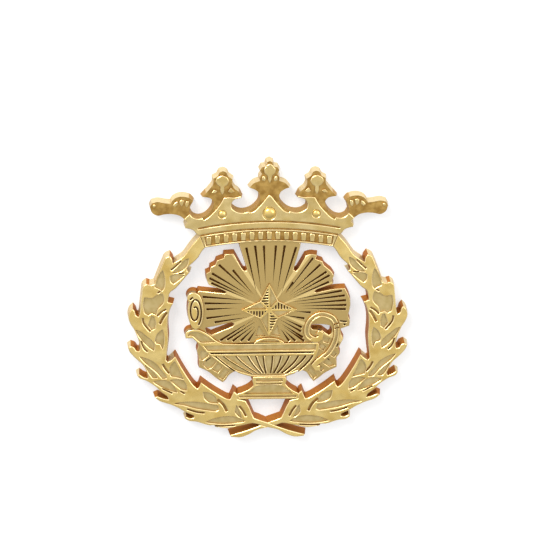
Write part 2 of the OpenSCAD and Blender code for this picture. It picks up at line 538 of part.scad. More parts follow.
// Middle line of the roll's end, turning inwards.
scroll_turns = [for (a = [-60 : 20 : 480])
    scroll_centre + [-0.1, -0.1] + (1 - a / 700) * 0.78 * [scroll_rx * cos(a), scroll_ry * sin(a)]];

module parchment_scroll() {
    color(pale_gold) difference() {
        slab(seat_t, laid_t) scroll_shape();
        slab(laid_t - line_d, laid_t + eps) {
            polygon(strip(scroll_turns, 0.26));
            polygon(strip([[-12.5, 0.5], [-12.2, 0.8], [-12.0, 0.9]], 0.3));
        }
    }
}

module handle_shape() {
    difference() {
        polygon(strip(handle_route, handle_w));
        polygon(bowl_edge);
        polygon(right_slot);
    }
}

module sunburst() {
    color(gold) difference() {
        union() {
            slab(0, ray_t) polygon(burst_edge);
            slab(0, seat_t) polygon(bowl_edge);
            slab(0, seat_t) scroll_shape();
        }
        slab(-eps, ray_t + eps) {
            polygon(left_slot);
            polygon(right_slot);
        }
        slab(seat_t, ray_t + eps) {
            polygon(star_edge);
            polygon(bowl_edge);
            polygon(lid_edge);
            scroll_shape();
            handle_shape();
        }
        slab(ray_t - line_d, ray_t + eps) {
            for (pair = ray_pairs)
                polygon([pair[0], pair[1] + 0.16 * side(pair, 0), pair[1] - 0.16 * side(pair, 0)]);
            all_lines(burst_lines);
        }
        slab(ray_t - field_d, ray_t + eps) all_polygons(burst_fields);
        // tongue under the crown
        slab(rim_t / 2, ray_t + eps) crown_shape();
    }
}

// ---------------------------------------------------------------- lamp

// Middle line of one flute's cut, moved sideways by a step.
function flute_line(f, step) = [for (t = [0 : 0.2 : 1])
    bend([f[0], flute_top], [f[1], flute_mid], [f[2], flute_bottom], t) + [step, 0]];

module ribs() {
    union() {
        for (f = flutes)
            polygon(strip(flute_line(f, rib_step), rib_w));
    }
}

module lamp_bowl() {
    color(pale_gold) difference() {
        slab(seat_t, laid_t) polygon(bowl_edge);
        slab(laid_t - field_d, laid_t + eps) {
            polygon(spout_field);
            polygon(rim_field);
        }
        slab(laid_t - line_d, laid_t + eps) {
            polygon(rim_line);
            for (f = flutes)
                polygon(strip(flute_line(f, 0), 0.2));
        }
        difference() {
            slab(laid_t - field_d, laid_t + eps) polygon(belly);
            slab(laid_t - field_d - eps, laid_t + 2 * eps) ribs();
        }
    }
}

module lamp_lid() {
    color(pale_gold) difference() {
        slab(seat_t, laid_t) polygon(lid_edge);
        slab(laid_t - field_d, laid_t + eps)
            polygon([[-1.7, -6.7], [-0.8, -6.4], [0.3, -6.3], [1.4, -6.4], [2.0, -6.7]]);
    }
}

module lamp_foot() {
    color(pale_gold) difference() {
        slab(0, rim_t) polygon(foot_edge);
        slab(rim_t - field_d, rim_t + eps) all_polygons(foot_fields);
    }
}

module lamp_handle() {
    color(pale_gold) difference() {
        slab(seat_t, laid_t) handle_shape();
        slab(laid_t - field_d, laid_t + eps)
            polygon(strip([for (i = [4 : 17]) handle_route[i]], handle_groove_w));
        // binding across the handle
        slab(laid_t - line_d, laid_t + eps) {
            polygon(strip([[10.5, -3.9], [11.3, -3.6]], 0.22));
            polygon(strip([[10.6, -4.6], [11.4, -4.3]], 0.22));
        }
    }
}

// ---------------------------------------------------------------- screw posts

shoulder_start = flange_t;
shoulder_end = shoulder_start + shoulder_l;
washer_start = shoulder_end + fit_gap;
nut_start = washer_start + washer_t + fit_gap;

// A round bar along +Y between two distances behind the back plane.
module bar(r, start, finish) {
    translate([0, start, 0])
        rotate([-90, 0, 0])
            cylinder(r = r, h = finish - start);
}

module post(i) {
    translate([post_places[i].x, 0, post_places[i].y])
    color(brass)
    union() {
        bar(spigot_r, 0, shoulder_start);
        bar(shoulder_r, shoulder_start, shoulder_end);
        bar(thread_r, shoulder_end, shoulder_end + thread_l);
    }
}

module flange(i) {
    translate([post_places[i].x, 0, post_places[i].y])
    color(brass)
    difference() {
        bar(flange_r, 0, flange_t);
        bar(spigot_r + fit_gap, -eps, flange_t + eps);
    }
}

module washer(i) {
    translate([post_places[i].x, 0, post_places[i].y])
    color(brass)
    difference() {
        bar(washer_r, washer_start, washer_start + washer_t);
        bar(thread_r + 2 * fit_gap, washer_start - eps, washer_start + washer_t + eps);
    }
}

module nut(i) {
    notch = PI * nut_r / knurl_count;
    translate([post_places[i].x, 0, post_places[i].y])
    color(brass)
    difference() {
        bar(nut_r, nut_start, nut_start + nut_h);
        bar(thread_r + fit_gap, nut_start - eps, nut_start + nut_h + eps);
        for (k = [0 : knurl_count - 1])
            rotate([0, 360 * k / knurl_count, 0])
                translate([nut_r - notch / 3, nut_start + nut_h / 4, -notch / 2])
                    cube([notch, nut_h, notch]);
    }
}

module crown_post() { post(0); }
module left_post() { post(1); }
module right_post() { post(2); }
module crown_flange() { flange(0); }
module left_flange() { flange(1); }
module right_flange() { flange(2); }
module crown_washer() { washer(0); }
module left_washer() { washer(1); }
module right_washer() { washer(2); }
module crown_nut() { nut(0); }
module left_nut() { nut(1); }
module right_nut() { nut(2); }

// ---------------------------------------------------------------- assembly

crown();
crown_bosses();
left_branch();
right_branch();
sunburst();
star();
parchment_scroll();
lamp_bowl();
lamp_lid();
lamp_foot();
lamp_handle();
crown_post();
left_post();
right_post();
crown_flange();
left_flange();
right_flange();
crown_washer();
left_washer();
right_washer();
crown_nut();
left_nut();
right_nut();
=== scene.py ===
"""Looks of a pierced gilt cap badge with screw posts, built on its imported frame."""

import logging
import math
from dataclasses import dataclass, field
from enum import Enum

import bmesh
import bpy
import numpy
from mathutils import Matrix, Vector
from mathutils.bvhtree import BVHTree
from mathutils.geometry import delaunay_2d_cdt
from mathutils.kdtree import KDTree


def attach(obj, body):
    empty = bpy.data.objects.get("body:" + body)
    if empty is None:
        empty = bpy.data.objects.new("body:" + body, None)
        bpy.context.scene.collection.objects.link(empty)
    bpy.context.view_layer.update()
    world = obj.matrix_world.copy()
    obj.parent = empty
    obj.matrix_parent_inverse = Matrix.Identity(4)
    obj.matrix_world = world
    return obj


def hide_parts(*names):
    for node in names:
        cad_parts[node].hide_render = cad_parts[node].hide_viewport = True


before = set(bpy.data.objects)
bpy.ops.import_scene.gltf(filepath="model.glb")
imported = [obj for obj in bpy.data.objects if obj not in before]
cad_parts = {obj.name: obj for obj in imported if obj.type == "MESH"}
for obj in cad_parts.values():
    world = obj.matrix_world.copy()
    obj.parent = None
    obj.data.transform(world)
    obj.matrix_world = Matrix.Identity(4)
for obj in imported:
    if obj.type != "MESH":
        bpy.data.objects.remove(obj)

MM = 0.001
LOG = logging.getLogger("cap_badge")

RIM_TOP = 2.6
RAY_TOP = 2.1
SEAT_TOP = 1.5
LAID_TOP = 2.5
FIELD_DEPTH = 0.35
LINE_DEPTH = 0.5
STAR_CENTRE = (0.1, -1.3)
WORK_TURN_DEG = 17.3
WREATH_CENTRE_Z = -5.0
SCOOPS = (12.75, 13.5, 18.2)
NECK_Z = 9.5
LEVEL = 0.995
NEAR = 0.02
CARD_GAP = 0.02


class Zone(Enum):
    """Kinds of surface that one struck piece shows."""

    LAND = 0
    FIELD = 1
    LINE = 2
    EDGE = 3
    RECESS = 4
    BACK = 5
    OUTER = 6
    LIP = 7
    SCOOP = 8


# ------------------------------------------------------------------ finishes


class Nodes:
    """Short way to make the nodes and links of one material."""

    def __init__(self, name: str) -> None:
        """Starts a material with an empty node tree.

        Args:
            name: the material's name.
        """
        self.material = bpy.data.materials.new(name)
        self.material.use_nodes = True
        self.tree = self.material.node_tree
        self.tree.nodes.clear()

    def add(self, kind: str, **values: object) -> bpy.types.Node:
        """Adds a node and sets its attributes and inputs.

        Args:
            kind: the node's type name.
            values: attributes of the node, or inputs by their name with spaces as underscores.

        Returns:
            The new node.
        """
        node = self.tree.nodes.new(kind)
        for key, value in values.items():
            if hasattr(node, key):
                setattr(node, key, value)
            else:
                node.inputs[key.replace("_", " ")].default_value = value
        return node

    def link(self, out: bpy.types.NodeSocket, into: bpy.types.NodeSocket) -> None:
        """Links two sockets."""
        self.tree.links.new(out, into)

    def object_point(self) -> bpy.types.NodeSocket:
        """Gives the point on the surface in the object's own space."""
        return self.add("ShaderNodeTexCoord").outputs["Object"]

    def noise(
        self, size_mm: float, detail: float = 3.0, stretch: tuple = (1, 1, 1)
    ) -> bpy.types.NodeSocket:
        """Makes a noise with features of about the given size.

        Args:
            size_mm: the size of the noise's features.
            detail: how many finer layers it has.
            stretch: how often it repeats along each axis.

        Returns:
            The noise's value, from 0 to 1.
        """
        mapping = self.add("ShaderNodeMapping")
        mapping.inputs["Scale"].default_value = stretch
        self.link(self.object_point(), mapping.inputs["Vector"])
        noise = self.add("ShaderNodeTexNoise", Scale=1.0 / (size_mm * MM), Detail=detail)
        self.link(mapping.outputs["Vector"], noise.inputs["Vector"])
        return noise.outputs["Fac"]

    def ramp(self, value: bpy.types.NodeSocket, stops: list) -> bpy.types.NodeSocket:
        """Turns a value into a colour.

        Args:
            value: the value, from 0 to 1.
            stops: pairs of a place and a colour, in order.

        Returns:
            The colour.
        """
        ramp = self.add("ShaderNodeValToRGB")
        points = ramp.color_ramp.elements
        while len(points) < len(stops):
            points.new(0.5)
        for point, (place, colour) in zip(points, stops):
            point.position = place
            point.color = (*colour, 1.0)
        self.link(value, ramp.inputs["Fac"])
        return ramp.outputs["Color"]

    def span(self, value: bpy.types.NodeSocket, low: float, high: float) -> bpy.types.NodeSocket:
        """Maps a value from 0 to 1 on to a span of numbers."""
        mapped = self.add("ShaderNodeMapRange")
        self.link(value, mapped.inputs["Value"])
        mapped.inputs["From Min"].default_value = 0.25
        mapped.inputs["From Max"].default_value = 0.75
        mapped.inputs["To Min"].default_value = low
        mapped.inputs["To Max"].default_value = high
        return mapped.outputs["Result"]

    def math(self, operation: str, first: object, second: object) -> bpy.types.NodeSocket:
        """Works out one sum of two numbers or sockets.

        Args:
            operation: the operation's name.
            first: the first socket or number.
            second: the second socket or number.

        Returns:
            The result.
        """
        node = self.add("ShaderNodeMath", operation=operation)
        for socket, value in zip(node.inputs, (first, second)):
            if isinstance(value, bpy.types.NodeSocket):
                self.link(value, socket)
            else:
                socket.default_value = value
        return node.outputs[0]

    def metal(
        self,
        colour: object,
        roughness: object,
        height: object = None,
        relief_mm: float = 0.0,
        tarnish: tuple = None,
    ) -> None:
        """Ends the tree in a metal surface.

        Args:
            colour: the base colour, or the socket that gives it.
            roughness: the roughness, or the socket that gives it.
            height: the socket that gives the small relief.
            relief_mm: how high that relief is.
            tarnish: the tint of a part tarnished surface's shine, or nothing where it is bare.
        """
        shader = self.add("ShaderNodeBsdfPrincipled", Metallic=1.0 if tarnish is None else 0.6)
        if tarnish is not None:
            shader.inputs["Specular Tint"].default_value = (*tarnish, 1.0)
        for name, value in (("Base Color", colour), ("Roughness", roughness)):
            if isinstance(value, bpy.types.NodeSocket):
                self.link(value, shader.inputs[name])
            else:
                shader.inputs[name].default_value = value
        if height is not None:
            bump = self.add("ShaderNodeBump", Strength=1.0, Distance=relief_mm * MM)
            self.link(height, bump.inputs["Height"])
            self.link(bump.outputs["Normal"], shader.inputs["Normal"])
        out = self.add("ShaderNodeOutputMaterial")
        self.link(shader.outputs["BSDF"], out.inputs["Surface"])


@dataclass(frozen=True)
class MetalFinish:
    """A metal finish with slow changes of colour and a fine grain. The slow patches are random
    tone, and on the lands they are also painted reflection.
    """

    name: str
    dark: tuple
    light: tuple
    rough: tuple
    patch_mm: float
    grain_mm: float
    relief_mm: float
    stretch: tuple = (1.0, 1.0, 1.0)
    swell_mm: float = 0.0

    def material(self) -> bpy.types.Material:
        """Makes the finish's material."""
        nodes = Nodes(self.name)
        tone_and_reflection_patches = nodes.noise(self.patch_mm)
        grain = nodes.noise(self.grain_mm, 2.0, self.stretch)
        colour = nodes.ramp(tone_and_reflection_patches, [(0.35, self.dark), (0.65, self.light)])
        height, relief = grain, self.relief_mm
        if self.swell_mm > 0:
            share = self.relief_mm / self.swell_mm
            swell = nodes.noise(self.patch_mm * 0.8, 1.0)
            height = nodes.math("ADD", swell, nodes.math("MULTIPLY", grain, share))
            relief = self.swell_mm
        nodes.metal(colour, nodes.span(grain, *self.rough), height, relief)
        return nodes.material


@dataclass(frozen=True)
class WallFinish:
    """A pierced or trimmed edge with painted light: lighter where it faces up, as a painted
    reflection of the bright room, and darker where it faces down, as painted shade, with streaks
    through the metal.
    """

    name: str
    low: tuple
    high: tuple
    shine: tuple

    def material(self) -> bpy.types.Material:
        """Makes the finish's material."""
        nodes = Nodes(self.name)
        split = nodes.add("ShaderNodeSeparateXYZ")
        nodes.link(nodes.add("ShaderNodeNewGeometry").outputs["Normal"], split.inputs[0])
        streaks = nodes.noise(0.5, 3.0, (1.0, 0.25, 1.0))
        # Painted light: an upward tilt lightens the wall's colour as a painted reflection, and a
        # downward tilt darkens it as painted shade.
        painted_upward_light = nodes.math("MULTIPLY", split.outputs["Z"], 0.45)
        lit = nodes.math("ADD", painted_upward_light, 0.3)
        shade = nodes.math("ADD", lit, nodes.math("MULTIPLY", streaks, 0.5))
        colour = nodes.ramp(shade, [(0.15, self.low), (0.95, self.high)])
        nodes.metal(colour, nodes.span(streaks, 0.3, 0.42), streaks, 0.02, self.shine)
        return nodes.material


@dataclass(frozen=True)
class RayFinish:
    """Matt rays with bright arms that run out from the star between the ray groups."""

    name: str
    matt: tuple
    bright: tuple
    arms_deg: tuple = (21.9, 56.3, 120.7, 156.2, 203.6, 336.6)
    arm_half_deg: float = 2.6

    def material(self) -> bpy.types.Material:
        """Makes the finish's material."""
        nodes = Nodes(self.name)
        split = nodes.add("ShaderNodeSeparateXYZ")
        nodes.link(nodes.object_point(), split.inputs[0])
        across = nodes.math("SUBTRACT", split.outputs["X"], STAR_CENTRE[0] * MM)
        up = nodes.math("SUBTRACT", split.outputs["Z"], STAR_CENTRE[1] * MM)
        angle = nodes.math("ARCTAN2", up, across)
        mask = None
        for arm in self.arms_deg:
            turn = math.radians(arm if arm < 180 else arm - 360)
            away = nodes.math("ABSOLUTE", nodes.math("SUBTRACT", angle, turn), 0.0)
            near = nodes.math("LESS_THAN", away, math.radians(self.arm_half_deg))
            mask = near if mask is None else nodes.math("MAXIMUM", mask, near)
        grain = nodes.noise(0.12, 2.0)
        colour = nodes.ramp(mask, [(0.0, self.matt), (1.0, self.bright)])
        shine = nodes.math("MULTIPLY", mask, 0.15)
        rough = nodes.math("SUBTRACT", nodes.span(grain, 0.38, 0.5), shine)
        nodes.metal(colour, rough, grain, 0.006)
        return nodes.material


class Finishes:
    """Every finish of the badge, each made once."""

    def __init__(self) -> None:
        """Makes the materials."""
        # On the lands the dark and light patches are partly painted reflection, brighter and
        # darker as gilt mirrors its surroundings, and partly random tone.
        self.land = MetalFinish(
            "gilt_land", (0.80, 0.55, 0.16), (0.94, 0.71, 0.27), (0.2, 0.28), 2.4, 0.25, 0.003,
            swell_mm=0.09,
        ).material()
        # A shaded copy of the land finish: the crown's lands are coloured darker as painted shade
        # and painted dark reflection, and their patches are partly painted reflection too.
        self.shaded_crown_land = MetalFinish(
            "gilt_crown_land", (0.68, 0.49, 0.17), (0.83, 0.65, 0.30), (0.2, 0.28), 2.8, 0.3,
            0.003, swell_mm=0.12,
        ).material()
        self.field = MetalFinish(
            "gilt_matt_field", (0.55, 0.42, 0.17), (0.66, 0.52, 0.25), (0.45, 0.55), 1.2, 0.09,
            0.008,
        ).material()
        # Painted shade: the crown's sunk fields are coloured darker brown than the matt fields,
        # for the shade and dark reflection in its hollows.
        self.shaded_hollow = MetalFinish(
            "gilt_hollow", (0.38, 0.21, 0.05), (0.60, 0.38, 0.11), (0.3, 0.42), 1.1, 0.12, 0.006,
            swell_mm=0.06,
        ).material()
        # Painted shade: the floors of the cut lines are coloured darker than the lands, and the
        # deep lines of the rays, star, scroll and bowl near black, for the shade that falls in the
        # grooves.
        self.line = MetalFinish(
            "gilt_cut_line", (0.36, 0.20, 0.05), (0.52, 0.32, 0.10), (0.4, 0.5), 0.8, 0.1, 0.006,
        ).material()
        self.deep_line_shade = MetalFinish(
            "gilt_deep_line", (0.08, 0.035, 0.008), (0.17, 0.08, 0.018), (0.4, 0.5), 0.8, 0.1,
            0.006,
        ).material()
        # Painted light in the wall colours: the dark ends are painted shade, darkest on the
        # pierced walls inside the wreath, and the light ends are painted reflection, cream on the
        # outer edge that faces the white room.
        self.pierced = WallFinish(
            "gilt_pierced_edge", (0.12, 0.035, 0.003), (0.50, 0.20, 0.03), (0.75, 0.36, 0.09),
        ).material()
        self.outer = WallFinish(
            "gilt_outer_edge", (0.26, 0.12, 0.03), (0.70, 0.57, 0.33), (1.0, 0.85, 0.6),
        ).material()
        self.scoop = WallFinish(
            "gilt_scoop_edge", (0.18, 0.07, 0.01), (0.50, 0.31, 0.11), (0.85, 0.6, 0.28),
        ).material()
        # Painted highlight: the eased lips along the land edges are coloured lighter than the
        # lands.
        self.lip = MetalFinish(
            "gilt_lip_painted_highlight", (0.84, 0.63, 0.28), (0.92, 0.73, 0.38), (0.24, 0.34), 1.0, 0.2,
            0.003,
        ).material()
        # Painted shade: the walls of the sunk fields and the laid pieces' edges are coloured
        # darker brown, for shadow and dark reflection on them.
        self.shaded_recess = MetalFinish(
            "gilt_recess_wall", (0.36, 0.20, 0.05), (0.52, 0.32, 0.10), (0.3, 0.4), 1.0, 0.12,
            0.005,
        ).material()
        self.back = MetalFinish(
            "gilt_back", (0.72, 0.50, 0.18), (0.80, 0.58, 0.24), (0.34, 0.46), 4.0, 0.16, 0.012,
        ).material()
        self.rays = RayFinish("gilt_rays", (0.56, 0.40, 0.15), (0.96, 0.72, 0.30)).material()
        self.turned = MetalFinish(
            "turned_brass", (0.66, 0.45, 0.14), (0.74, 0.52, 0.19), (0.2, 0.3), 1.5, 0.1, 0.006,
            (0.3, 3.0, 0.3),
        ).material()
        self.solder = MetalFinish(
            "soft_solder", (0.55, 0.53, 0.48), (0.66, 0.64, 0.6), (0.3, 0.42), 0.6, 0.2, 0.02,
        ).material()

    def for_struck(self, land: str, ground: str, line: str, wall: str) -> list:
        """Gives a struck piece's materials in the order of Zone.

        Args:
            land: the name of the finish of its lands.
            ground: the name of the finish of its sunk fields.
            line: the name of the finish of its cut lines.
            wall: the name of the finish of its walls.

        Returns:
            The materials.
        """
        names = (land, ground, line, wall, "shaded_recess", "back", "outer", "lip", "scoop")
        return [getattr(self, name) for name in names]


# ------------------------------------------------------------------ mesh helpers


def to_object(bm: bmesh.types.BMesh, name: str, materials: list) -> bpy.types.Object:
    """Turns a mesh in the making into an object in the scene.

    Args:
        bm: the mesh, which is freed.
        name: the piece's name.
        materials: its materials.

    Returns:
        The object.
    """
    mesh = bpy.data.meshes.new(name)
    bm.to_mesh(mesh)
    bm.free()
    for material in materials:
        mesh.materials.append(material)
    piece = bpy.data.objects.new(name, mesh)
    bpy.context.scene.collection.objects.link(piece)
    return piece


def place(piece: bpy.types.Object, body: str, slot: str, *nodes: str) -> bpy.types.Object:
    """Puts a piece on its body in the place of the nodes that it stands for, and reports it."""
    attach(piece, body)
    if nodes:
        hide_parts(*nodes)
    LOG.info("%s: %d faces on %s", piece.name, len(piece.data.polygons), body)
    return piece


def height_of(point: Vector) -> float:
    """Gives a point's height above the badge's back plane, in a mesh that is in millimetres."""
    return -point.y


def is_level(face: bmesh.types.BMFace) -> bool:
    """Says whether a face lies parallel to the back plane."""
    return abs(face.normal.y) > LEVEL


def is_upright(face: bmesh.types.BMFace) -> bool:
    """Says whether a face is a wall, square to the back plane."""
    return abs(face.normal.y) < 0.05


def crossed_odd(ends: numpy.ndarray, point: Vector) -> bool:
    """Says whether a point lies inside closed outlines, holes left out.

    Args:
        ends: a row for each outline edge, its two ends' X and Z.
        point: the point, as X and Z.

    Returns:
        True where a line from the point crosses the outlines an odd number of times.
    """
    x1, z1, x2, z2 = ends.T
    straddles = (z1 > point.y) != (z2 > point.y)
    with numpy.errstate(divide="ignore", invalid="ignore"):
        at = (x2 - x1) * (point.y - z1) / (z2 - z1) + x1
    return bool(numpy.count_nonzero(straddles & (point.x < at)) % 2)


# ------------------------------------------------------------------ struck pieces


class Neighbours:
    """Tells whether another full-thickness piece lies against a wall."""

    names = ("crown", "left_branch", "right_branch", "sunburst", "lamp_foot")

    def __init__(self) -> None:
        """Takes the CAD solids of the full-thickness pieces."""
        self.trees = {}
        for name in self.names:
            bm = bmesh.new()
            bm.from_mesh(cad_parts[name].data)
            self.trees[name] = BVHTree.FromBMesh(bm)
            bm.free()

    def cover(self, node: str, point: Vector) -> bool:
        """Says whether a piece other than the named one lies over a point.

        Args:
            node: the piece that asks.
            point: the point in millimetres, of which X and Z count.

        Returns:
            True where another piece covers it.
        """
        start = Vector((point.x * MM, 1.0, point.z * MM))
        way = Vector((0.0, -1.0, 0.0))
        others = (tree for name, tree in self.trees.items() if name != node)
        return any(tree.ray_cast(start, way)[0] is not None for tree in others)


@dataclass
class StruckPiece:
    """A struck piece of the front: a CAD solid with eased corners and a curved outline."""

    node: str
    top: float
    under: float = 0.0
    draft: float = 0.18
    easing: float = 0.1
    fall: float = 0.05
    smooth_turn_deg: float = 42.0
    land: str = "land"
    ground: str = "field"
    line: str = "line"
    wall: str = "pierced"
    neighbours: Neighbours = None
    bm: bmesh.types.BMesh = field(default=None, repr=False)

    def build(self, finishes: Finishes) -> bpy.types.Object:
        """Makes the piece.

        Args:
            finishes: the badge's finishes.

        Returns:
            The finished piece.
        """
        self.start()
        self.curve_outlines()
        self.draft_walls()
        self.refill_levels()
        self.ease_lands()
        self.zone_faces()
        self.mark_sharp()
        self.turn(-WORK_TURN_DEG)
        bmesh.ops.scale(self.bm, verts=self.bm.verts, vec=(MM,) * 3)
        materials = finishes.for_struck(self.land, self.ground, self.line, self.wall)
        piece = to_object(self.bm, f"{self.node}_struck", materials)
        return place(piece, "badge", "gilt", self.node)

    def start(self) -> None:
        """Takes a merged copy of the CAD solid, with its flat faces whole again."""
        self.bm = bmesh.new()
        self.bm.from_mesh(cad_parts[self.node].data)
        bmesh.ops.scale(self.bm, verts=self.bm.verts, vec=(1 / MM,) * 3)
        self.turn(WORK_TURN_DEG)
        bmesh.ops.remove_doubles(self.bm, verts=self.bm.verts, dist=0.002)
        bmesh.ops.dissolve_limit(
            self.bm,
            angle_limit=math.radians(0.4),
            use_dissolve_boundaries=False,
            verts=self.bm.verts,
            edges=self.bm.edges,
        )
        self.bm.normal_update()

    def turn(self, degrees: float) -> None:
        """Turns the piece about the axis square to the back plane."""
        matrix = Matrix.Rotation(math.radians(degrees), 3, "Y")
        bmesh.ops.rotate(self.bm, verts=self.bm.verts, matrix=matrix)

    def outline_edges(self) -> list:
        """Finds the edges where a level face meets a wall."""
        found = []
        for edge in self.bm.edges:
            if len(edge.link_faces) != 2:
                continue
            one, two = edge.link_faces
            if (is_level(one) and is_upright(two)) or (is_level(two) and is_upright(one)):
                found.append(edge)
        return found

    def curve_outlines(self) -> None:
        """Curves the outlines between their corners, and leaves the corners sharp."""
        outline = self.outline_edges()
        at: dict = {}
        for edge in outline:
            for vert in edge.verts:
                at.setdefault(vert, []).append(edge)

        def tangent(vert: bmesh.types.BMVert, edge: bmesh.types.BMEdge) -> tuple:
            """Gives the outline's direction at one end of an edge, and its turn there."""
            along = (edge.other_vert(vert).co - vert.co).normalized()
            others = [e for e in at[vert] if e is not edge]
            if len(others) != 1:
                return along, 0.0
            back = vert.co - others[0].other_vert(vert).co
            turn = math.degrees(along.angle(back, 0.0))
            if turn > self.smooth_turn_deg:
                return along, 0.0
            mixed = along * back.length + back.normalized() * edge.calc_length()
            reach = min(1.0, 1.4 * back.length / edge.calc_length())
            return mixed.normalized() * reach, turn

        plans = {2: [], 3: []}
        for edge in outline:
            a, b = edge.verts
            start, turn_a = tangent(a, edge)
            finish, turn_b = tangent(b, edge)
            length = edge.calc_length()
            if max(turn_a, turn_b) < 3.0 or length < 0.3:
                continue
            cuts = 3 if length > 0.9 else 2
            plans[cuts].append((edge, a.co.copy(), b.co.copy(), start * length, -finish * length))
        targets = []
        for cuts, plan in plans.items():
            for _, p, q, u, v in plan:
                for k in range(1, cuts + 1):
                    t = k / (cuts + 1)
                    curved = (
                        p * (2 * t**3 - 3 * t**2 + 1)
                        + u * (t**3 - 2 * t**2 + t)
                        + q * (-2 * t**3 + 3 * t**2)
                        + v * (t**3 - t**2)
                    )
                    targets.append((p.lerp(q, t), curved))
            if plan:
                edges = [row[0] for row in plan]
                bmesh.ops.subdivide_edges(self.bm, edges=edges, cuts=cuts, use_grid_fill=False)
        tree = KDTree(max(len(targets), 1))
        for i, (straight, _) in enumerate(targets):
            tree.insert(straight, i)
        tree.balance()
        if not targets:
            return
        for vert in self.bm.verts:
            _, i, distance = tree.find(vert.co)
            if distance < 0.001:
                vert.co = targets[i][1]
        self.bm.normal_update()

    def draft_walls(self) -> None:
        """Spreads the foot of the outer walls, as a struck and pierced edge spreads."""
        if self.draft <= 0:
            return
        moves = {}
        for vert in self.bm.verts:
            if abs(height_of(vert.co) - self.under) > NEAR:
                continue
            walls = [f for f in vert.link_faces if abs(f.normal.y) < 0.3]
            if not walls:
                continue
            ways = []
            for face in walls:
                way = Vector((face.normal.x, 0.0, face.normal.z)).normalized()
                if all(way.angle(w) > 0.02 for w in ways):
                    ways.append(way)
            total = sum(ways, Vector())
            if len(ways) == 1:
                moves[vert] = ways[0]
            elif len(ways) == 2 and total.length > 0.35:
                miter = total / (1 + ways[0].dot(ways[1]))
                moves[vert] = miter if miter.length < 1.8 else miter.normalized() * 1.8
        matrix = Matrix.Rotation(math.radians(-WORK_TURN_DEG), 3, "Y")
        for vert, way in moves.items():
            beside = matrix @ (vert.co + way * 0.12)
            if self.neighbours is None or not self.neighbours.cover(self.node, beside):
                vert.co += way * self.draft
        self.bm.normal_update()

    def refill(self, level: list, way: float) -> list:
        """Fills one level of the piece again, inside the outlines that it has now.

        Args:
            level: the faces of that level.
            way: the side that they face, as the sign of their normal's Y.

        Returns:
            The new faces.
        """
        inside = set(level)
        edges = {e for f in level for e in f.edges}
        rim = [e for e in edges if sum(f in inside for f in e.link_faces) == 1]
        height = level[0].verts[0].co.y
        bmesh.ops.delete(self.bm, geom=level, context="FACES_ONLY")
        bmesh.ops.delete(self.bm, geom=list(edges - set(rim)), context="EDGES")
        verts = list({v for e in rim for v in e.verts})
        index = {v: i for i, v in enumerate(verts)}
        pairs = [(index[e.verts[0]], index[e.verts[1]]) for e in rim]
        flat = [Vector((v.co.x, v.co.z)) for v in verts]
        points, _, triangles, origins, _, _ = delaunay_2d_cdt(flat, pairs, [], 0, 1e-6)
        corners = [
            verts[origin[0]] if origin else self.bm.verts.new((point.x, height, point.y))
            for point, origin in zip(points, origins)
        ]
        ends = numpy.array([[*flat[a], *flat[b]] for a, b in pairs])
        faces = []
        for triangle in triangles:
            centre = sum((points[i] for i in triangle), Vector((0.0, 0.0))) / 3
            if not crossed_odd(ends, centre) or len({corners[i] for i in triangle}) < 3:
                continue
            face = self.bm.faces.new([corners[i] for i in triangle])
            face.normal_update()
            if face.normal.y * way < 0:
                face.normal_flip()
            faces.append(face)
        return faces

    def refill_levels(self) -> None:
        """Fills every level again after its outline was curved."""
        groups: dict = {}
        for face in self.bm.faces:
            if is_level(face) and len({round(height_of(v.co), 2) for v in face.verts}) == 1:
                groups.setdefault(round(height_of(face.verts[0].co), 2), []).append(face)
        for faces in groups.values():
            way = sum(f.normal.y * f.calc_area() for f in faces)
            self.refill(faces, math.copysign(1.0, way))
        self.bm.normal_update()

    def ease_lands(self) -> None:
        """Rounds the corners where the lands meet the walls."""
        lands = [
            f for f in self.bm.faces
            if f.normal.y < -0.9 and abs(height_of(f.verts[0].co) - self.top) < NEAR
        ]
        dropped = set()
        for inset, drop in ((0.4, 0.64), (0.6, 0.36)):
            made = bmesh.ops.inset_region(
                self.bm,
                faces=lands,
                thickness=self.easing * inset,
                use_boundary=True,
                use_even_offset=False,
            )
            strip = {v for f in made["faces"] for v in f.verts}
            dropped |= strip - {v for f in lands for v in f.verts}
            for vert in dropped:
                vert.co.y += self.fall * drop
            self.bm.normal_update()
            lands = self.refill(lands, -1.0)
        self.bm.normal_update()

    def zone_faces(self) -> None:
        """Gives each face the finish of the zone that it lies in."""
        field_floor = self.top - FIELD_DEPTH
        line_floor = self.top - LINE_DEPTH
        for face in self.bm.faces:
            heights = [height_of(v.co) for v in face.verts]
            low, high = min(heights), max(heights)
            if face.normal.y > 0.9:
                zone = Zone.BACK
            elif low > self.top - self.fall - 0.02 and high - low > 0.003:
                zone = Zone.LIP
            elif face.normal.y < -0.9 and high - low < 0.05:
                if abs(low - self.top) < 0.05:
                    zone = Zone.LAND
                elif abs(low - field_floor) < 0.05:
                    zone = Zone.FIELD
                elif abs(low - line_floor) < 0.05:
                    zone = Zone.LINE
                else:
                    zone = Zone.FIELD
            elif low > line_floor - 0.05:
                zone = Zone.RECESS
            else:
                zone = self.wall_zone(face)
            face.material_index = zone.value
            face.smooth = not is_level(face)
        self.shade_outer_lips()

    def shade_outer_lips(self) -> None:
        """Paints shade on the lips of the outer edge where they face up, by giving them the cut
        line's darker colour.
        """
        outer = {
            v for f in self.bm.faces if f.material_index == Zone.OUTER.value for v in f.verts
        }
        matrix = Matrix.Rotation(math.radians(-WORK_TURN_DEG), 3, "Y")
        for face in self.bm.faces:
            is_lip = face.material_index == Zone.LIP.value
            on_rim = is_lip and sum(v in outer for v in face.verts) >= 2
            if on_rim and (matrix @ face.normal).z > 0.15:
                face.material_index = Zone.LINE.value

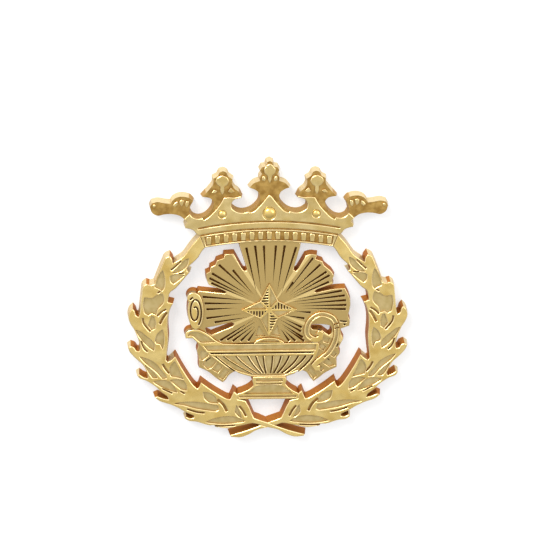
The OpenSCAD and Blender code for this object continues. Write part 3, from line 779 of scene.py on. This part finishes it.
    def wall_zone(self, face: bmesh.types.BMFace) -> Zone:
        """Tells the walls of the pierced middle, the crown's scoops and the outer edge apart.

        Args:
            face: a wall.

        Returns:
            The wall's zone.
        """
        matrix = Matrix.Rotation(math.radians(-WORK_TURN_DEG), 3, "Y")
        middle = matrix @ face.calc_center_median()
        if abs(middle.x) < SCOOPS[0] and SCOOPS[1] < middle.z < SCOOPS[2]:
            return Zone.SCOOP
        off = Vector((middle.x, 0.0, middle.z - WREATH_CENTRE_Z))
        turned_in = (matrix @ face.normal).dot(off.normalized()) < 0.1
        inside = off.length < 15.6 or (turned_in and middle.z < NECK_Z)
        return Zone.EDGE if inside else Zone.OUTER

    def mark_sharp(self) -> None:
        """Keeps flat faces flat, curved walls smooth, and the eased corners apart from both."""
        strip = {
            f for f in self.bm.faces
            if 0.1 < abs(f.normal.y) < LEVEL and height_of(f.calc_center_median()) > 1.0
        }
        for edge in self.bm.edges:
            if len(edge.link_faces) != 2:
                continue
            turn = edge.calc_face_angle(0.0)
            leaves_strip = sum(f in strip for f in edge.link_faces) == 1
            edge.smooth = not (turn > math.radians(46) or leaves_strip)


@dataclass
class Bosses:
    """The round bosses on the crown: low domes, the middle one with a ring round it."""

    node: str = "crown_bosses"
    places: tuple = ((0.0, 14.7, 1.0), (-7.4, 14.6, 0.6), (7.4, 14.6, 0.6))
    sink: float = 0.3
    rise: float = 0.3

    def build(self, finishes: Finishes) -> bpy.types.Object:
        """Makes the bosses.

        Args:
            finishes: the badge's finishes.

        Returns:
            The piece.
        """
        bm = bmesh.new()
        for x, z, radius in self.places:
            rise = self.rise * radius
            dome = radius * 0.86
            base = RIM_TOP - self.sink
            ledge = RIM_TOP - 0.05
            profile = [(0.0, base), (radius, base), (radius, ledge), (dome, ledge)]
            profile += [
                (dome * math.cos(a), RIM_TOP + rise * math.sin(a))
                for a in (math.radians(15 * k) for k in range(1, 6))
            ]
            profile.append((0.0, RIM_TOP + rise))
            turned(bm, profile, x, z, 48)
        bmesh.ops.recalc_face_normals(bm, faces=bm.faces)
        for face in bm.faces:
            face.smooth = True
        piece = to_object(bm, "crown_bosses_struck", [finishes.land])
        piece.data.set_sharp_from_angle(angle=math.radians(50))
        return place(piece, "badge", "gilt", self.node)


def turned(bm: bmesh.types.BMesh, profile: list, x: float, z: float, steps: int) -> list:
    """Spins a profile about an axis square to the back plane.

    Args:
        bm: the mesh that takes the surface.
        profile: pairs of radius and height above the back plane, in millimetres.
        x: the axis's place across the badge.
        z: the axis's place up the badge.
        steps: how many steps the turn has.

    Returns:
        The new vertices.
    """
    before = set(bm.verts)
    points = [bm.verts.new(((x + r) * MM, -h * MM, z * MM)) for r, h in profile]
    line = [bm.edges.new(pair) for pair in zip(points, points[1:])]
    bmesh.ops.spin(
        bm,
        geom=points + line,
        cent=(x * MM, 0.0, z * MM),
        axis=(0.0, 1.0, 0.0),
        angle=math.tau,
        steps=steps,
        use_merge=True,
    )
    made = [v for v in bm.verts if v not in before]
    bmesh.ops.remove_doubles(bm, verts=made, dist=0.001 * MM)
    return [v for v in bm.verts if v not in before]


# ------------------------------------------------------------------ screw posts


@dataclass
class ScrewFitting:
    """One screw post behind the badge, with its flange, washer and knurled nut."""

    name: str
    x: float
    z: float
    spigot_r: float = 0.9
    shoulder: tuple = (0.5, 2.5)
    shoulder_r: float = 1.25
    thread_r: float = 1.0
    thread_end: float = 7.0
    pitch: float = 0.4
    flange_r: float = 1.7
    washer: tuple = (2.55, 2.95)
    washer_r: float = 2.1
    nut: tuple = (3.0, 4.8)
    nut_r: float = 2.0
    grooves: int = 20

    def build(self, finishes: Finishes) -> None:
        """Makes the fitting's four pieces.

        Args:
            finishes: the badge's finishes.
        """
        self.make_post(finishes)
        self.make_flange(finishes)
        self.make_washer(finishes)
        self.make_nut(finishes)

    def finish_piece(self, bm: bmesh.types.BMesh, kind: str, body: str, materials: list) -> None:
        """Ends a turned piece: normals, shading and body."""
        bmesh.ops.recalc_face_normals(bm, faces=bm.faces)
        for face in bm.faces:
            face.smooth = True
        piece = to_object(bm, f"{self.name}_{kind}_turned", materials)
        piece.data.set_sharp_from_angle(angle=math.radians(35))
        place(piece, body, "fittings", f"{self.name}_{kind}")

    def make_post(self, finishes: Finishes) -> None:
        """Makes the post: a plain shoulder, then a cut thread with a chamfered end."""
        bm = bmesh.new()
        low, high = self.shoulder
        profile = [
            (0.0, 0.0), (self.spigot_r, 0.0), (self.spigot_r, -low), (self.shoulder_r, -low),
            (self.shoulder_r, -high + 0.12), (self.shoulder_r - 0.12, -high), (0.0, -high),
        ]
        turned(bm, profile, self.x, self.z, 48)
        self.cut_thread(bm)
        self.finish_piece(bm, "post", "badge", [finishes.turned])

    def cut_thread(self, bm: bmesh.types.BMesh) -> None:
        """Adds the threaded length: one turn's profile, spun along the post and cut to length."""
        start, end = self.shoulder[1] - 0.1, self.thread_end
        root = self.thread_r - 0.2
        turns = int((end - start) / self.pitch) + 3
        first = start - self.pitch
        steps = 28
        rows = ((root, 0.0), (self.thread_r, 0.42), (self.thread_r, 0.58), (root, 1.0))
        points = [
            bm.verts.new(((self.x + r) * MM, (first + share * self.pitch) * MM, self.z * MM))
            for r, share in rows
        ]
        edges = [bm.edges.new(pair) for pair in zip(points, points[1:])]
        before = set(bm.verts) - set(points)
        bmesh.ops.spin(
            bm,
            geom=points + edges,
            cent=(self.x * MM, 0.0, self.z * MM),
            axis=(0.0, 1.0, 0.0),
            dvec=(0.0, self.pitch * MM / steps, 0.0),
            angle=math.tau * turns,
            steps=steps * turns,
            use_merge=False,
        )
        made = [v for v in bm.verts if v not in before]
        bmesh.ops.remove_doubles(bm, verts=made, dist=0.001 * MM)
        for plane_y, keep in ((start, -1.0), (end, 1.0)):
            made = [v for v in bm.verts if v not in before]
            faces = {f for v in made for f in v.link_faces}
            lines = {e for v in made for e in v.link_edges}
            cut = bmesh.ops.bisect_plane(
                bm,
                geom=made + list(lines) + list(faces),
                dist=1e-8,
                plane_co=(0.0, plane_y * MM, 0.0),
                plane_no=(0.0, keep, 0.0),
                clear_outer=True,
            )
            rim = [e for e in cut["geom_cut"] if isinstance(e, bmesh.types.BMEdge)]
            bmesh.ops.edgeloop_fill(bm, edges=rim)
        chamfer = 0.3
        for vert in bm.verts:
            if vert in before:
                continue
            past = vert.co.y / MM - (end - chamfer)
            reach = self.thread_r - max(past, 0.0)
            off = Vector((vert.co.x - self.x * MM, 0.0, vert.co.z - self.z * MM))
            if past > 0 and off.length > reach * MM:
                vert.co -= off * (1 - reach * MM / off.length)

    def make_flange(self, finishes: Finishes) -> None:
        """Makes the flange, with a fillet of solder round its rim."""
        bm = bmesh.new()
        bore = self.spigot_r + 0.05
        profile = [
            (bore, 0.0), (bore, -0.5), (self.flange_r - 0.25, -0.5), (self.flange_r - 0.08, -0.44),
            (self.flange_r, -0.3),
        ]
        turned(bm, profile, self.x, self.z, 48)
        for face in bm.faces:
            face.material_index = 0
        flange_faces = set(bm.faces)
        fillet = [
            (self.flange_r, -0.3), (self.flange_r + 0.05, -0.16), (self.flange_r + 0.17, -0.07),
            (self.flange_r + 0.38, -0.02), (self.flange_r + 0.4, 0.0), (bore, 0.0),
        ]
        turned(bm, fillet, self.x, self.z, 48)
        for face in bm.faces:
            if face not in flange_faces:
                face.material_index = 1
        bmesh.ops.remove_doubles(bm, verts=bm.verts, dist=0.001 * MM)
        self.finish_piece(bm, "flange", "badge", [finishes.turned, finishes.solder])

    def make_washer(self, finishes: Finishes) -> None:
        """Makes the washer, stamped, so one rim is rounded."""
        bm = bmesh.new()
        low, high = self.washer
        bore = self.thread_r + 0.1
        profile = [
            (bore, -low), (bore, -high + 0.05), (bore + 0.05, -high),
            (self.washer_r - 0.14, -high),
            (self.washer_r - 0.04, -high + 0.05), (self.washer_r, -high + 0.14),
            (self.washer_r, -low), (bore, -low),
        ]
        turned(bm, profile, self.x, self.z, 48)
        self.finish_piece(bm, "washer", f"{self.name}_washer", [finishes.turned])

    def make_nut(self, finishes: Finishes) -> None:
        """Makes the round nut with a straight knurl between two chamfered rims."""
        bm = bmesh.new()
        low, high = self.nut
        bore, r = self.thread_r + 0.05, self.nut_r
        knurl = (low + 0.42, high - 0.42)
        depth = 0.14
        profile = [
            (bore, -low - 0.12), (bore + 0.12, -low), (r - 0.14, -low), (r, -low - 0.14),
            (r, -knurl[0] + 0.1), (r, -knurl[0]), (r, -knurl[1]), (r, -knurl[1] - 0.1),
            (r, -high + 0.14), (r - 0.14, -high),
            (bore + 0.2, -high), (bore, -high + 0.2), (bore, -low - 0.12),
        ]
        steps = self.grooves * 4
        turned(bm, profile, self.x, self.z, steps)
        for vert in bm.verts:
            off = Vector((vert.co.x - self.x * MM, 0.0, vert.co.z - self.z * MM))
            y = vert.co.y / MM
            if abs(off.length / MM - r) > 0.01 or not knurl[0] - 0.01 < y < knurl[1] + 0.01:
                continue
            turn = round(math.atan2(off.z, off.x) / math.tau * steps) % 4
            share = (0.0, 0.55, 1.0, 0.55)[turn]
            vert.co -= off.normalized() * depth * share * MM
        self.finish_piece(bm, "nut", f"{self.name}_nut", [finishes.turned])


# ------------------------------------------------------------------ the whole badge


@dataclass
class BadgeFront:
    """All the struck pieces of the front."""

    def build(self, finishes: Finishes) -> None:
        """Makes each struck piece.

        Args:
            finishes: the badge's finishes.
        """
        neighbours = Neighbours()
        laid = {"top": LAID_TOP, "under": SEAT_TOP}
        for piece in (
            StruckPiece(
                "crown", RIM_TOP, easing=0.11, fall=0.07, land="shaded_crown_land", ground="shaded_hollow"
            ),
            StruckPiece("left_branch", RIM_TOP, easing=0.13, fall=0.08),
            StruckPiece("right_branch", RIM_TOP, easing=0.13, fall=0.08),
            StruckPiece("sunburst", RAY_TOP, easing=0.08, fall=0.05, land="rays", line="deep_line_shade"),
            StruckPiece(
                "star", **laid, draft=0.0, easing=0.06, fall=0.04, smooth_turn_deg=3.0,
                line="deep_line_shade", wall="shaded_recess",
            ),
            StruckPiece(
                "parchment_scroll", **laid, draft=0.06, easing=0.09, line="deep_line_shade", wall="shaded_recess"
            ),
            StruckPiece(
                "lamp_bowl", **laid, draft=0.06, easing=0.09, line="deep_line_shade", wall="shaded_recess"
            ),
            StruckPiece("lamp_lid", **laid, draft=0.0, easing=0.08, wall="shaded_recess"),
            StruckPiece("lamp_foot", RIM_TOP, easing=0.09),
            StruckPiece("lamp_handle", **laid, draft=0.05, easing=0.08, wall="shaded_recess"),
        ):
            piece.neighbours = neighbours
            piece.build(finishes)
        Bosses().build(finishes)


@dataclass
class Studio:
    """White card behind the badge, soft light and the camera."""

    azimuth: float = -3.5
    elevation: float = 17.1
    distance: float = 300.0
    frame_width: float = 84.27
    look_at: tuple = (-0.40, -2.6, 6.02)
    roll: float = 0.5
    room: tuple = (-0.7, 0.1, 0.45, 1.12)

    def build(self) -> None:
        """Makes the card, the lights and the camera."""
        scene = bpy.context.scene
        scene.view_settings.view_transform = "Standard"
        self.make_card()
        self.make_world(scene)
        self.make_light("key", (-160.0, -240.0, 230.0), 160.0, 0.9)
        self.make_light("fill", (220.0, -260.0, 90.0), 200.0, 0.25)
        self.make_camera(scene)

    def make_card(self) -> None:
        """Makes the white card that the badge is pinned to. It shows from the front only."""
        bm = bmesh.new()
        bmesh.ops.create_grid(bm, x_segments=1, y_segments=1, size=0.6)
        bmesh.ops.rotate(bm, verts=bm.verts, matrix=Matrix.Rotation(math.radians(90), 3, "X"))
        bmesh.ops.translate(bm, verts=bm.verts, vec=(0.0, CARD_GAP * MM, 0.0))
        nodes = Nodes("white_card")
        diffuse = nodes.add("ShaderNodeBsdfDiffuse")
        diffuse.inputs["Color"].default_value = (0.5, 0.5, 0.5, 1.0)
        glow = nodes.add("ShaderNodeEmission", Strength=0.5)
        lit = nodes.add("ShaderNodeAddShader")
        nodes.link(diffuse.outputs[0], lit.inputs[0])
        nodes.link(glow.outputs[0], lit.inputs[1])
        clear = nodes.add("ShaderNodeBsdfTransparent")
        side = nodes.add("ShaderNodeNewGeometry")
        mix = nodes.add("ShaderNodeMixShader")
        nodes.link(side.outputs["Backfacing"], mix.inputs[0])
        nodes.link(lit.outputs[0], mix.inputs[1])
        nodes.link(clear.outputs[0], mix.inputs[2])
        out = nodes.add("ShaderNodeOutputMaterial")
        nodes.link(mix.outputs[0], out.inputs["Surface"])
        card = to_object(bm, "white_card", [nodes.material])

    def make_world(self, scene: bpy.types.Scene) -> None:
        """Makes the white surroundings, which darken towards the floor."""
        world = bpy.data.worlds.new("white_room")
        world.use_nodes = True
        tree = world.node_tree
        place_in = tree.nodes.new("ShaderNodeTexCoord")
        split = tree.nodes.new("ShaderNodeSeparateXYZ")
        tree.links.new(place_in.outputs["Generated"], split.inputs[0])
        ramp = tree.nodes.new("ShaderNodeMapRange")
        for name, value in zip(("From Min", "From Max", "To Min", "To Max"), self.room):
            ramp.inputs[name].default_value = value
        tree.links.new(split.outputs["Z"], ramp.inputs["Value"])
        tree.links.new(ramp.outputs["Result"], tree.nodes["Background"].inputs["Strength"])
        tree.nodes["Background"].inputs["Color"].default_value = (1.0, 1.0, 1.0, 1.0)
        scene.world = world

    def make_light(self, name: str, at: tuple, size: float, watts: float) -> None:
        """Adds a square soft light that faces the badge."""
        light = bpy.data.lights.new(name, "AREA")
        light.shape = "SQUARE"
        light.size = size * MM
        light.energy = watts
        lamp = bpy.data.objects.new(name, light)
        lamp.location = Vector(at) * MM
        lamp.rotation_mode = "QUATERNION"
        lamp.rotation_quaternion = (-lamp.location).to_track_quat("-Z", "Y")
        bpy.context.scene.collection.objects.link(lamp)

    def make_camera(self, scene: bpy.types.Scene) -> None:
        """Adds the camera at the viewing angle."""
        a, e = math.radians(self.azimuth), math.radians(self.elevation)
        back = Vector((math.sin(a) * math.cos(e), -math.cos(a) * math.cos(e), math.sin(e)))
        data = bpy.data.cameras.new("camera")
        data.lens = data.sensor_width * self.distance / self.frame_width
        data.clip_start, data.clip_end = 0.01, 10.0
        camera = bpy.data.objects.new("camera", data)
        camera.location = (Vector(self.look_at) + back * self.distance) * MM
        camera.rotation_mode = "QUATERNION"
        turn = (-back).to_track_quat("-Z", "Y")
        roll = Matrix.Rotation(math.radians(self.roll), 3, "Z").to_quaternion()
        camera.rotation_quaternion = turn @ roll
        scene.collection.objects.link(camera)
        scene.camera = camera


def main() -> None:
    """Builds the badge and its surroundings in order."""
    logging.basicConfig(level=logging.INFO, format="%(message)s")
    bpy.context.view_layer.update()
    finishes = Finishes()
    BadgeFront().build(finishes)
    for name, x, z in (("crown", 0.0, 12.9), ("left", -11.0, -18.0), ("right", 11.0, -18.0)):
        ScrewFitting(name, x, z).build(finishes)
    Studio().build()


if __name__ == "__main__":
    main()
